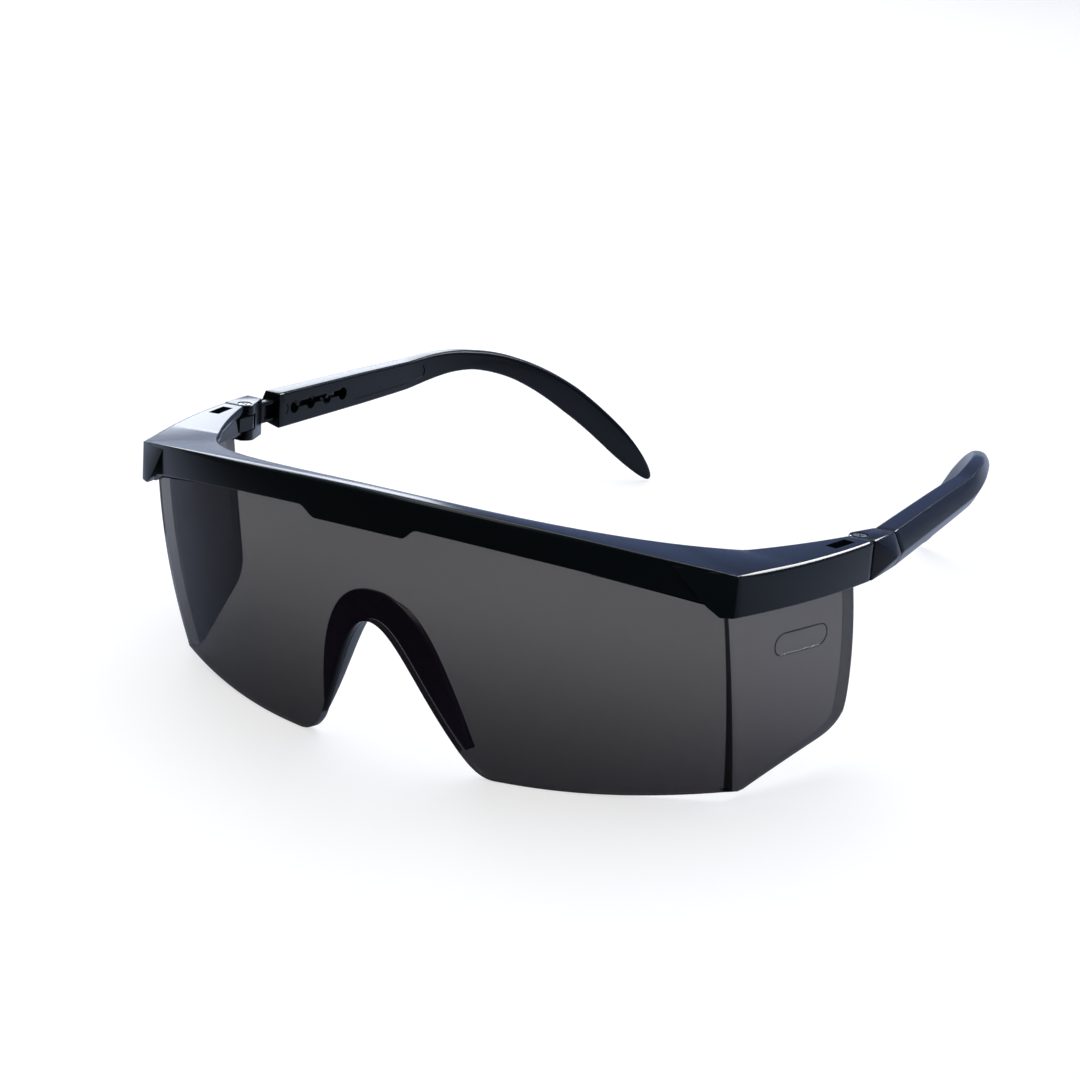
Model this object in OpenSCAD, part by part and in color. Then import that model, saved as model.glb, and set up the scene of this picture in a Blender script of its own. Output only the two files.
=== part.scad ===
// Wraparound safety spectacles with folding temples of adjustable length.
// Millimetres. +Y points back towards the wearer's ears, +Z is up, +X is the wearer's left.
// The shapes are drawn as worn, with the top of the side arms level at arm_top.
// stand() then tips the whole assembly so that it rests on a table at Z = 0.

/* [Brow frame] */
// Half the width across the two side arms at the hinges
arm_x = 74; // [70:0.5:78]
// Height of the top of the side arms, as worn
arm_top = 50; // [48:0.5:54]
// Height of a side arm
arm_h = 7.7; // [6:0.1:9]
// Width of a side arm at its rear end
arm_w = 5.4; // [5:0.1:6]
// Outward bow of the side arm between corner and hinge
arm_bow = 1.3; // [0:0.1:2]
// Half the width across the front corners
corner_x = 64.8; // [63:0.1:66]
// How far the middle of the brow stands in front of the corners
brow_depth = 23.9; // [20:0.1:26]
// Rise of the brow's lower edge from the corner to the middle
brow_rise = 9; // [7:0.1:11]
// Height of the brow bar's front face at the middle
brow_h = 6; // [5:0.1:7]
// Drop of the tab at the middle of the brow
tab_drop = 2.2; // [0:0.1:3]
// Thickness of the top flange
flange_t = 1.8; // [1.2:0.1:2.4]

/* [Lens] */
// Thickness of the lens
lens_t = 2; // [1.6:0.1:2.1]
// Backward slope of the lens, millimetres per millimetre of drop
lens_slope = 0.28; // [0.2:0.01:0.32]
// Forward bulge of the lens at mid height
lens_bulge = 1.2; // [0:0.1:1.6]
// Lowest height of the lens, as worn
lens_low = 2.3; // [1:0.1:6]

/* [Temples] */
// Distance between two clicks of the length adjustment
click = 5.6; // [5:0.1:6]
// Clicks that the left temple is pulled out at rest
left_clicks = 0; // [0:1:3]
// Clicks that the right temple is pulled out at rest
right_clicks = 1; // [0:1:3]
// Length of the adjusting blade
blade_l = 26; // [25:0.5:27]
// Radius of the hinge screw's shank
screw_r = 0.8; // [0.6:0.05:0.9]

/* [Hidden] */
$fn = 48;
eps = 0.01;

// Resting on a table: the frame tips back until the longer temple's tip touches.
rest_tilt = 4.28;
origin_y = 71.54;
rest_drop = 2.54;

// Brow and arm outline
corner_y = -2.6;
arm_end_y = 35.2;
brow_y = corner_y + 2 - brow_depth;
face_slope = 0.27;
inner_edge = [[0, -20.8], [36, -21.2], [56.5, 3], [arm_x - arm_w, arm_end_y]];
corner_t = 0.6;
crown_x = 58;
tab_half_top = 12.2;
tab_half_low = 9.6;
lip_h = 3.6;
arm_lip_h = 6.2;
brow_stations = [0, 4.8, tab_half_low, tab_half_top, 17, 22, 27, 32, 37, 42, 47, 51, 54.8, 58, 61.5];
arm_steps = 10;

// Lens
lens_gap = 0.2;
wall_front = 1.4;
crease_top = [62, -1.2];
crease_lean = 0.035;
side_rear = [71.7, 34];
side_lean = 0.085;
crease_bow = 0.8;
inner_scale = 0.974;
lens_rows = 8;
lens_top_clear = 2.1;
lens_mid_x = 26;
lens_low_rise = 3.5;
shield_rear_y = 40;
bulge_low = 6;

// Nose cut-out and the flange of the nose bridge, as half curves in X and Z
notch = [[15.43, 7.04], [8.19, 19.22], [5.14, 31.2], [0, 31.2]];
saddle = [[15.9, 7.25], [13.2, 19.46], [10.75, 36.6], [0, 36.5]];
notch_steps = 12;
foot_run = 6.5;
saddle_depth = 6.5;
saddle_flare = 1.2;
saddle_wall = 1.3;

// Hinge
axis_x = 70.2;
axis_y = 37.4;
eye_r = 2.1;
ear_t = 2.15;
tongue_gap = 0.25;
pocket_gap = 0.4;
front_gap = 0.25;
head_r = 1.4;
head_h = 1;

// Temple: its own frame has the top outer ridge's front end as origin
ridge = [74.35, 44, arm_top];
temple_yaw = 3.66;
temple_rise = 1.15;
cavity = [[-3.15, -6.2], [-1.05, -1.4]];
blade_gap = 0.15;
nub_r = 0.55;
lobe_r = 1.4;
neck_h = 1.3;
neck_rise = 0.35;
first_lobe = 5.4;
lobes = 4;
slot_z = -3.8;
ear_start = 46;
ear_hook = [[0, 0, 0], [0, 14.2, 0], [-3.8, 39.4, 9.6], [-28.1, 69.1, -33]];
hook_steps = 22;
// Height and width of the ear piece against the distance from the sleeve's mouth
ear_heights = [[0, 7.8], [30, 7.2], [64, 5.8], [83, 4.6], [97.5, 5.3], [113, 7], [122, 6.8], [140, 6]];
ear_widths = [[0, 1], [40, 0.92], [75, 0.72], [140, 0.7]];

// ---------- curves and helpers ----------

function bez(p, t) =
    pow(1 - t, 3) * p[0] + 3 * t * pow(1 - t, 2) * p[1]
    + 3 * t * t * (1 - t) * p[2] + pow(t, 3) * p[3];
function clamp(v, low, high) = max(low, min(high, v));
function unit(v) = v / norm(v);
function hump(t) = 4 * clamp(t, 0, 1) * (1 - clamp(t, 0, 1));

// A closed solid through rings that all have the same number of points. Its end faces fan out
// from each end ring's first point, or with strip they run between the ring's two halves.
module loft(rings, strip = false) {
    n = len(rings[0]);
    last = (len(rings) - 1) * n;
    sides = [for (i = [0:len(rings) - 2], j = [0:n - 1])
        let (a = i * n + j, b = i * n + (j + 1) % n)
        each [[a, b, b + n], [a, b + n, a + n]]];
    rungs = [for (j = [0:n / 2 - 2]) [j, j + 1, n - 2 - j, n - 1 - j]];
    caps = strip ? [for (q = rungs) each [[q[3], q[2], q[1], q[0]], [for (j = q) last + j]]]
        : [[0, for (j = [n - 1:-1:1]) j], [for (j = [0:n - 1]) last + j]];
    polyhedron([for (ring = rings) each ring], concat(sides, caps), convexity = 10);
}

// Tips the worn assembly onto its table
module stand() {
    translate([0, -origin_y, -rest_drop]) rotate([-rest_tilt, 0, 0]) children();
}

// The left temple is drawn, and the right one is its mirror image
module on_side(side) {
    stand() mirror([side < 0 ? 1 : 0, 0, 0]) children();
}

// Temple frame, pulled out by a number of clicks
module temple_frame(clicks = 0) {
    translate(ridge) rotate([temple_rise, 0, temple_yaw]) translate([0, clicks * click, 0])
        children();
}

// ---------- brow frame ----------

function face_y(x) = brow_y + brow_depth * pow(x / corner_x, 2);
function tab(x) = tab_drop * clamp((tab_half_top - x) / (tab_half_top - tab_half_low), 0, 1);
function brow_low(x) = arm_top + 2.2 - brow_rise * pow(x / corner_x, 2);
function brow_top(x) = arm_top + (2.2 + brow_h) * (1 - pow(x / corner_x, 2));
function crown(x) = arm_top + (1.7 + brow_h) * max(0, 1 - pow(x / crown_x, 2));

// One cross-section of the frame, as eight points, on the +X side
function frame_ring(outer_top, outer_low, inner, lens_line, lip) =
    let (z_in = crown(inner[0]), z_lip = outer_top[2] - lip,
         back = lens_line(z_lip, lens_t + lens_gap + 1.1),
         back_top = lens_line(z_in - flange_t, lens_t + lens_gap + 1.1),
         mid = lens_line(z_lip, lens_t / 2), mid_low = lens_line(outer_low[2], lens_t / 2))
    [outer_top, [inner[0], inner[1], z_in], [inner[0], inner[1], z_in - flange_t],
     back_top, back, mid, mid_low, outer_low];

function brow_ring(x) =
    let (z_low = brow_low(x) - tab(x), z_top = brow_top(x),
         inner = bez(inner_edge, corner_t * x / corner_x), xl = x * crease_top[0] / corner_x)
    frame_ring([x, face_y(x) - face_slope * (z_top - brow_low(x)), z_top],
               [x, face_y(x) + face_slope * tab(x), z_low], inner,
               function (z, in) [xl, lens_y(xl, z) + in * wrap(xl), z], lip_h);

function arm_ring(t) =
    let (x = corner_x + t * (arm_x - corner_x) + arm_bow * hump(t),
         y = corner_y + t * (arm_end_y - corner_y),
         inner = bez(inner_edge, corner_t + t * (1 - corner_t)),
         yl = t == 1 ? arm_end_y : crease_top[1] + t * (arm_end_y - crease_top[1]))
    frame_ring([x, y, arm_top], [x, y, arm_top - arm_h], inner,
               function (z, in) [side_x(yl, z) - in, yl + in * (1 - t) * 0.85, z],
               lip_h + t * (arm_lip_h - lip_h));

module frame_shell() {
    half = concat([for (x = brow_stations) brow_ring(x)],
                  [for (i = [0:arm_steps]) arm_ring(i / arm_steps)]);
    mirrored = [for (i = [len(half) - 1:-1:1]) [for (p = half[i]) [-p[0], p[1], p[2]]]];
    loft(concat(mirrored, half));
}

// The flat facet that stands proud at each front corner
module corner_facet() {
    outline = [[54.8, brow_top(54.8) - 0.9], [corner_x, arm_top], [corner_x, arm_top - arm_h],
               [62.6, arm_top - arm_h], [60.6, arm_top - 5.9]];
    slope = (corner_y + 9) / (corner_x - 54.8);
    function at(p, back) = [p[0], -9 + slope * (p[0] - 54.8) + back, p[1]];
    loft([[for (p = outline) at(p, 1.9)], [for (p = outline) at(p, 0)]]);
}

// The channel that holds the lens's upper edge
module lens_channel() {
    lens_sheet(lens_gap, lens_top_clear - lens_gap, 12, arm_end_y - 1);
}

// The tongue that the hinge block's ears take between them
module hinge_tongue() {
    z0 = arm_top - arm_h + ear_t + tongue_gap;
    h = arm_h - 2 * (ear_t + tongue_gap);
    translate([axis_x, axis_y, z0]) cylinder(r = eye_r, h = h);
    translate([axis_x - eye_r, arm_end_y - 2, z0]) cube([2 * eye_r, axis_y - arm_end_y + 2, h]);
}

module brow_frame() {
    color([0.06, 0.07, 0.09]) stand() difference() {
        union() {
            frame_shell();
            for (side = [0, 1]) mirror([side, 0, 0]) {
                corner_facet();
                hinge_tongue();
            }
        }
        lens_channel();
        for (side = [0, 1]) mirror([side, 0, 0]) {
            translate([axis_x, axis_y, 0]) cylinder(r = screw_r + 0.05, h = arm_top + 5);
            // Window in the top of the arm
            translate([69.95, 28.9, arm_top - 3]) rotate(-9)
                translate([-1.2, -3.2, 0]) cube([2.4, 6.4, 5]);
        }
    }
}

// ---------- lens ----------

function slope_at(x) = 2 * brow_depth * x / pow(corner_x, 2);
function wrap(x) = sqrt(1 + pow(slope_at(x), 2));
function drop(z) = (arm_top - arm_h - z) / (arm_top - arm_h - bulge_low);
function lens_y(x, z) =
    face_y(x) + wall_front - lens_slope * (z - brow_low(x))
    - lens_bulge * hump((brow_low(x) - z) / (brow_low(x) - bulge_low));
function crease_x(z) = crease_top[0] - crease_lean * (43 - z) + crease_bow * hump(drop(z));
function side_x(y, z) =
    crease_top[0] + (y - crease_top[1]) * (side_rear[0] - crease_top[0]) / (side_rear[1] - crease_top[1])
    - side_lean * (43 - z) + crease_bow * hump(drop(z));
function lens_floor(x) = lens_low + lens_low_rise * pow(max(0, x - lens_mid_x) / 36, 2);

// A point of the sheet: t runs 0 to 1 to the crease and on to 2 at the rear edge; in is the depth
function sheet_point(t, z, in, rear) =
    let (xc = crease_x(z), x = xc * min(t, 1) * (1 - (1 - inner_scale) * in / lens_t),
         y_front = lens_y(x, z) + in * wrap(x), s = t - 1)
    t <= 1 ? [x, y_front, z]
    : let (yc = lens_y(xc, z) + in * 0.85 * (1 - s), y = yc + s * (rear - yc))
      [side_x(y, z) - in * 1.03, y, z];

// The lens as a sheet: grown by gap on both faces and up by raise, deep rows down from its top
module lens_sheet(gap, raise, deep, rear) {
    steps = [for (x = brow_stations) x / corner_x];
    ts = concat([for (i = [10:-1:0]) -1 - i / 10], [for (i = [len(steps) - 1:-1:1]) -steps[i]],
                steps, [for (i = [0:10]) 1 + i / 10]);
    rows = lens_rows;
    function top(t) = let (x = min(abs(t), 1) * corner_x)
        min(brow_top(x), abs(t) > 1 ? arm_top : 99) - flange_t - 0.7 + raise * 0.2;
    function low(t) = deep > 0 ? brow_low(min(abs(t), 1) * corner_x) - deep
        : abs(t) > 1 ? lens_floor(61.5) + 6 * (abs(t) - 1) : lens_floor(abs(t) * crease_x(6));
    function at(t, k, in) = let (z = top(t) + (low(t) - top(t)) * k / rows,
                                 p = sheet_point(abs(t), z, in, rear))
        [t < 0 ? -p[0] : p[0], p[1], p[2]];
    loft([for (t = ts) concat([for (k = [0:rows]) at(t, k, lens_t + gap)],
                              [for (k = [rows:-1:0]) at(t, k, -gap)])], strip = true);
}

module nose_notch() {
    curve = [for (i = [0:notch_steps]) bez(notch, i / notch_steps)];
    outline = concat(curve, [for (i = [notch_steps - 1:-1:0]) [-curve[i][0], curve[i][1]]]);
    foot = [for (s = [0.12, 0.25, 0.4, 0.6, 1])
        [notch[0][0] + s * foot_run, lens_low + (notch[0][1] - lens_low) * pow(1 - s, 2.14)]];
    left = [for (p = foot) [-p[0], p[1]]];
    right = [for (i = [len(foot) - 1:-1:0]) foot[i]];
    rotate([90, 0, 0]) linear_extrude(80, center = true)
        polygon(concat(outline, left, [[-24, -5], [24, -5]], right));
}

// Outside of the side shield's rounded rear edge, seen from the side
module shield_trim() {
    rear = [[33.2, 43], [36.6, 24], [37, 17]];
    corner = [for (a = [0:15:75]) [31 + 6 * cos(a), 17 - 6 * sin(a) + (a / 75) * 0.4]];
    away = [[9, 4.6], [9, -5], [60, -5], [60, 43]];
    for (side = [-1, 1]) translate([side * 70, 0, 0])
        rotate([90, 0, 90]) linear_extrude(60, center = true)
            polygon(concat(rear, corner, [[30, 10.9]], away));
}

module lens() {
    color([0.30, 0.28, 0.32, 0.6]) stand() difference() {
        lens_sheet(0, 0, 0, shield_rear_y);
        nose_notch();
        shield_trim();
        // The sheet's upper rear corners stay short of the channel's end
        translate([-100, 33.9, 43]) cube([200, 20, 20]);
    }
}

// ---------- nose bridge ----------

function nose_ring(t) =
    let (u = abs(t), a = bez(notch, 1 - u), b = bez(saddle, 1 - u),
         across = unit(b - a), width = norm(b - a) + 0.6, fade = pow(u, 4),
         depth = saddle_depth * (1 - 0.8 * pow(u, 3)), flare = saddle_flare * (1 - 0.6 * fade),
         y0 = function (p) lens_y(abs(p[0]), p[1]) + lens_t * wrap(p[0]) + 0.05,
         foot = a + across * min(2.2, width * 0.8), outer = a + across * (flare + saddle_wall),
         edge = a + across * flare, tip = a + across * width,
         ring = [[a, 0], [tip, 0], [tip, min(1, 0.45 * depth)], [foot, min(1.5, 0.6 * depth)], [outer, depth], [edge, depth]])
    [for (q = ring) [(t < 0 ? -1 : 1) * q[0][0], y0(q[0]) + q[1], q[0][1]]];

module nose_bridge() {
    color([0.05, 0.05, 0.06]) stand()
        loft([for (i = [-notch_steps:notch_steps]) nose_ring(i / notch_steps)]);
}

// ---------- hinge block, blade and screw ----------

module section_plate(front) {
    translate([0, front, 0]) rotate([90, 0, 0]) linear_extrude(eps)
        polygon([[-4.07, 0], [0, 0], [1.8, -3.95], [0.5, -6.8], [-4.07, -7.8]]);
}

module hinge_body() {
    low = arm_top - arm_h;
    hull() {
        translate([arm_x - 0.3, arm_end_y + front_gap, low]) cube([0.3, 0.3, arm_h]);
        translate([axis_x, axis_y, low]) cylinder(r = eye_r, h = arm_h, $fn = 32);
        temple_frame() section_plate(0);
        temple_frame() translate([1.7, -2.6, -4.2]) cube(0.1);
    }
}

module hinge_block(clicks) {
    low = arm_top - arm_h;
    difference() {
        hinge_body();
        // Pocket for the frame's tongue
        translate([0, 0, low + ear_t]) {
            translate([axis_x, axis_y, 0]) cylinder(r = eye_r + pocket_gap, h = arm_h - 2 * ear_t);
            translate([axis_x - 8, arm_end_y - 5, 0])
                cube([8 + eye_r + pocket_gap, axis_y - arm_end_y + 5, arm_h - 2 * ear_t]);
        }
        translate([axis_x, axis_y, 0]) cylinder(r = screw_r + 0.02, h = arm_top + 5);
        translate([axis_x, axis_y, arm_top - head_h - 0.2]) cylinder(r = head_r + 0.1, h = 5);
    }
    temple_frame() {
        gap = blade_gap;
        size = [cavity[1][0] - cavity[0][0] - 2 * gap, cavity[1][1] - cavity[0][1] - 2 * gap];
        translate([cavity[0][0] + gap, -1, cavity[0][1] + gap]) cube([size[0], blade_l + 1, size[1]]);
        translate([-3.9, first_lobe + (lobes - 1) * click, slot_z + neck_rise])
            rotate([0, 90, 0]) cylinder(r = nub_r, h = 1.5);
    }
}

module hinge_screw() {
    difference() {
        union() {
            translate([axis_x, axis_y, arm_top - arm_h + 0.5]) cylinder(r = screw_r, h = arm_h - 1);
            translate([axis_x, axis_y, arm_top - head_h - 0.15]) cylinder(r = head_r, h = head_h);
        }
        // Cross recess
        for (a = [20, 110]) translate([axis_x, axis_y, arm_top - 0.6]) rotate(a)
            translate([-0.95, -0.22, 0]) cube([1.9, 0.44, 1]);
    }
}

// ---------- ear piece ----------

// Centre line of the ear piece in the temple frame, against a step number
function ear_centre(t) = t <= 1 ? [-1.15, t * ear_start, -3.9]
    : [-1.15, ear_start, -3.9] + bez(ear_hook, t - 1);
function ear_run(t) = t <= 1 ? t * ear_start : ear_start + 86 * (t - 1);

// Five-sided cross-section, flat on the inner face and ridged on the outer one
function ear_ring(t) =
    let (s = ear_run(t), h = lookup(s, ear_heights) / 7.8, w = lookup(s, ear_widths),
         tip = 1 - pow(clamp((s - 124) / 8.6, 0, 0.93), 2), k = sqrt(tip),
         along = unit(ear_centre(t + 0.01) - ear_centre(max(0, t - 0.01))),
         side = unit(cross(along, [0, 0, 1])), up = cross(side, along))
    [for (p = [[-2.92, -3.9], [1.65, -2.9], [2.95, -0.05], [1.15, 3.9], [-2.92, 3.9]])
        ear_centre(t) + side * p[0] * w * k + up * p[1] * h * k];

module ear_piece() {
    difference() {
        loft([for (t = concat([0, 0.5, 1], [for (i = [1:hook_steps]) 1 + i / hook_steps]))
            ear_ring(t)]);
        // Hollow for the blade
        translate([cavity[0][0], -1, cavity[0][1]])
            cube([cavity[1][0] - cavity[0][0], blade_l + 2, cavity[1][1] - cavity[0][1]]);
        // Scalloped slot of the length adjustment
        translate([-6, first_lobe, slot_z + neck_rise - neck_h / 2]) cube([4, (lobes - 1) * click, neck_h]);
        for (i = [0:lobes - 1]) translate([-6, first_lobe + i * click, slot_z])
            rotate([0, 90, 0]) cylinder(r = lobe_r, h = 4);
    }
}

module moulded_black() { color([0.07, 0.08, 0.11]) children(); }
module steel() { color([0.72, 0.73, 0.75]) children(); }

module left_hinge_block() { moulded_black() on_side(1) hinge_block(); }
module right_hinge_block() { moulded_black() on_side(-1) hinge_block(); }
module left_hinge_screw() { steel() on_side(1) hinge_screw(); }
module right_hinge_screw() { steel() on_side(-1) hinge_screw(); }
module left_ear_piece() { moulded_black() on_side(1) temple_frame(left_clicks) ear_piece(); }
module right_ear_piece() { moulded_black() on_side(-1) temple_frame(right_clicks) ear_piece(); }

brow_frame();
lens();
nose_bridge();
left_hinge_block();
right_hinge_block();
left_hinge_screw();
right_hinge_screw();
left_ear_piece();
right_ear_piece();
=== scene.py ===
"""Wraparound safety spectacles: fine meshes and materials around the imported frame."""
import math

import bmesh
import bpy
import numpy as np
from mathutils import Matrix, Vector


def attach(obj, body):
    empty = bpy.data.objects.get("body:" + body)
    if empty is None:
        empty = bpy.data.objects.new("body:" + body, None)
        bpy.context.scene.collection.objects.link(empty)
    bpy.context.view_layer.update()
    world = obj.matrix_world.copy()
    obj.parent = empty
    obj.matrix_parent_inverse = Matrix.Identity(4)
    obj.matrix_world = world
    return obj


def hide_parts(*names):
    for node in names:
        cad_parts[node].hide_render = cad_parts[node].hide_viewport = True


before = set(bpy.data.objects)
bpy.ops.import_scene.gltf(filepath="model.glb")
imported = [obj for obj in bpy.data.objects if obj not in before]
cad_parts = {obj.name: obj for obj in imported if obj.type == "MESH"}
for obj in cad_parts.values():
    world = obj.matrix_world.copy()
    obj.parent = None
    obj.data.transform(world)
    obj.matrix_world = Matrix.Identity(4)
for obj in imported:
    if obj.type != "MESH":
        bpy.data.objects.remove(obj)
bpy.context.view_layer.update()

# ---------- sizes: millimetres, as worn, the same as the CAD's ----------

# Brow frame: the arms, the corners, the brow bar, its centre tab and the channel's lips.
ARM_X, ARM_TOP, ARM_H, ARM_W, ARM_BOW = 74.0, 50.0, 7.7, 5.4, 1.3
ARM_LOW = ARM_TOP - ARM_H
CORNER_X, CORNER_Y, ARM_END_Y = 64.8, -2.6, 35.2
BROW_DEPTH, BROW_RISE, BROW_H, TAB_DROP, FLANGE_T = 23.9, 9.0, 6.0, 2.2, 1.8
BROW_LIFT, CROWN_LIFT = 2.2, 1.7
BROW_Y = CORNER_Y + 2 - BROW_DEPTH
FACE_SLOPE, CROWN_X, CORNER_T = 0.27, 58.0, 0.6
TAB_HALF_TOP, TAB_HALF_LOW = 12.6, 9.2
LIP_H, ARM_LIP_H, LIP_T = 3.6, 6.2, 1.1
INNER_EDGE = [(0, -20.8), (36, -21.2), (56.5, 3), (ARM_X - ARM_W, ARM_END_Y)]
FACET_START, FACET_T = (54.8, -9.0), 1.9
WINDOW_AT, WINDOW_TURN = (69.95, 28.9), math.radians(-9)
WINDOW_HALF_W, WINDOW_HALF_L, WINDOW_DEPTH = 1.2, 3.2, 3

# Lens: the front, the crease at each corner and the side shields.
LENS_T, LENS_GAP, LENS_SLOPE, LENS_BULGE, LENS_LOW, BULGE_LOW = 2.0, 0.2, 0.28, 1.2, 2.3, 6.0
LENS_MID_X, LENS_RISE_RUN, LENS_LOW_RISE, WALL_FRONT = 26.0, 36.0, 3.5, 1.4
LENS_INSET, LENS_TUCK, LENS_ROWS, NOTCH_PAINTED_SHADE_Z = 0.026, 0.9, 26, 7.2
CREASE_TOP, CREASE_LEAN, CREASE_BOW = (62.0, -1.2), 0.035, 0.8
SIDE_REAR, SIDE_LEAN, CREASE_LEVEL = (71.7, 34.0), 0.085, 43.0
GROOVE_UP, STRIP_W, STRIP_SPREAD = 4.2, 1.0, 0.25
REAR_TOP, REAR_LOW, REAR_LOW_Z, SHIELD_R = 33.2, 37.0, 17.0, 6.0
SHIELD_FLOOR_Y, SHIELD_FLOOR_Z, SHIELD_FLOOR_SLOPE = 9.0, 4.6, 0.3
EMBLEM_Y, EMBLEM_Z, EMBLEM_HALF, EMBLEM_R, EMBLEM_T = 20.6, 33.4, 4.9, 2.1, 0.09

# Nose: the cut-out, and the saddle's edge behind it.
NOTCH = [(15.43, 7.04), (8.19, 19.22), (5.14, 31.2), (0, 31.2)]
SADDLE = [(15.9, 7.25), (13.2, 19.46), (10.75, 36.6), (0, 36.5)]
SADDLE_DEPTH, SADDLE_FLARE, SADDLE_WALL, FOOT_RUN, FOOT_CURVE = 6.5, 1.2, 1.3, 6.5, 2.14

# Hinges and screws.
AXIS_X, AXIS_Y, EYE_R, EAR_T, TONGUE_GAP, POCKET_GAP = 70.2, 37.4, 2.1, 2.15, 0.25, 0.4
SCREW_R, HEAD_R, HEAD_H, HEAD_SINK = 0.8, 1.4, 1.0, 0.15

# Temples: where they start and point, the blade in its sleeve, the slot, and the ear hook.
RIDGE, YAW, RISE = (74.35, 44.0, ARM_TOP), math.radians(3.66), math.radians(1.15)
CLICK, LEFT_CLICKS, RIGHT_CLICKS = 5.6, 0, 1
CAVITY_X, CAVITY_Z, BLADE_GAP, BLADE_L = (-3.15, -1.05), (-6.2, -1.4), 0.15, 26.0
FIRST_LOBE, LOBES, LOBE_R, NECK_H, NECK_RISE, SLOT_Z, NUB_R = 5.4, 4, 1.4, 1.3, 0.35, -3.8, 0.55
EAR_START, HOOK_RUN, EAR_H, SEAM, TIP_START, TIP_RUN = 46.0, 86.0, 7.8, 0.18, 123.2, 8.9
EAR_MIDDLE, EAR_INNER, PANEL_END, PANEL_SINK = (-1.15, -3.9), -2.92, 1.15, 0.16
EAR_HOOK = [(0, 0, 0), (0, 14.2, 0), (-3.8, 39.4, 9.6), (-28.1, 69.1, -33)]
EAR_HEIGHTS = [(0, 7.8), (30, 7.2), (64, 5.8), (83, 4.6),
               (97.5, 5.3), (113, 7), (122, 6.8), (140, 6)]
EAR_WIDTHS = [(0, 1), (40, 0.92), (75, 0.72), (140, 0.7)]
EAR_SECTION = [(EAR_INNER, -3.9), (1.65, -2.9), (2.95, -0.05), (1.15, 3.9), (EAR_INNER, 3.9)]
SLEEVE_SECTION = [(-4.07, 0), (0, 0), (1.8, -3.95), (0.5, -6.8), (-4.07, -7.8)]

LAST_LOBE = FIRST_LOBE + (LOBES - 1) * CLICK

# How the spectacles rest on the table, and metres for a millimetre.
TILT, ORIGIN_Y, DROP = math.radians(4.28), 71.54, 2.54
MM = 0.001


# ---------- curves and helpers ----------

def vec(*numbers):
    return np.array(numbers, float)


def unit(v):
    return v / np.linalg.norm(v)


def clamp(v, low=0.0, high=1.0):
    return max(low, min(high, v))


def smooth(t):
    t = clamp(t)
    return t * t * (3 - 2 * t)


def hump(t):
    """A rise from 0 to 1 and back, for t from 0 to 1."""
    t = clamp(t)
    return 4 * t * (1 - t)


def turns(steps=32):
    """The cosine and sine of evenly spaced angles round a circle."""
    angles = [2 * math.pi * i / steps for i in range(steps)]
    return [(math.cos(a), math.sin(a)) for a in angles]


def bez(p, t):
    """A point of the cubic Bezier curve with the control points p."""
    a, b, c, d = (np.array(q, float) for q in p)
    return (1 - t) ** 3 * a + 3 * t * (1 - t) ** 2 * b + 3 * t * t * (1 - t) * c + t ** 3 * d


def lookup(s, table):
    """The value at s, read between the rows of a table of distances and values."""
    return float(np.interp(s, [row[0] for row in table], [row[1] for row in table]))


def stand(p):
    """A point as worn, in millimetres, to the frame that the spectacles rest in, in metres."""
    c, s = math.cos(TILT), math.sin(TILT)
    return Vector((p[0], c * p[1] + s * p[2] - ORIGIN_Y, c * p[2] - s * p[1] - DROP)) * MM


def temple(p, clicks=0):
    """A point of the left temple's own frame, pulled out by a number of clicks, as worn."""
    x, y, z = p[0], p[1] + clicks * CLICK, p[2]
    y, z = y * math.cos(RISE) - z * math.sin(RISE), y * math.sin(RISE) + z * math.cos(RISE)
    x, y = x * math.cos(YAW) - y * math.sin(YAW), x * math.sin(YAW) + y * math.cos(YAW)
    return vec(x, y, z) + vec(*RIDGE)


def rounded(ring, radii, steps=5):
    """The closed ring with each corner rounded by about its radius."""
    out = []
    for i, (p, r) in enumerate(zip(ring, radii)):
        if r == 0:
            out.append(p)
            continue
        before, after = ring[i - 1] - p, ring[(i + 1) % len(ring)] - p
        a = p + before * min(r / np.linalg.norm(before), 0.45)
        b = p + after * min(r / np.linalg.norm(after), 0.45)
        for k in range(steps + 1):
            t = k / steps
            out.append((1 - t) ** 2 * a + 2 * t * (1 - t) * p + t * t * b)
    return out


# ---------- mesh building ----------

def loft(rings):
    """Points and faces of a closed solid through rings with the same number of points."""
    n, last = len(rings[0]), (len(rings) - 1) * len(rings[0])
    faces = []
    for i in range(len(rings) - 1):
        for j in range(n):
            a, b = i * n + j, i * n + (j + 1) % n
            faces.append((a, b, b + n, a + n))
    faces.append(tuple(range(n)))
    faces.append(tuple(range(last, last + n)))
    return [p for ring in rings for p in ring], faces


def prism(outline, low, high):
    """Points and faces of an upright prism: outline in X and Y, from low to high in Z."""
    return loft([[vec(x, y, z) for x, y in outline] for z in (low, high)])


def block(low, high):
    """Points and faces of a box."""
    (x0, y0, z0), (x1, y1, z1) = low, high
    return prism([(x0, y0), (x1, y0), (x1, y1), (x0, y1)], z0, z1)


def disc(x, y, r, low, high, steps=48):
    """Points and faces of an upright cylinder."""
    return prism([(x + r * c, y + r * s) for c, s in turns(steps)], low, high)


def cross_rod(y, z, r, low, high, tall=None):
    """Points and faces of a rod along X, from low to high: round, or oval with a half height."""
    tall = tall or r
    return loft([[vec(x, y + r * c, z + tall * s) for c, s in turns()] for x in (low, high)])


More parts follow.
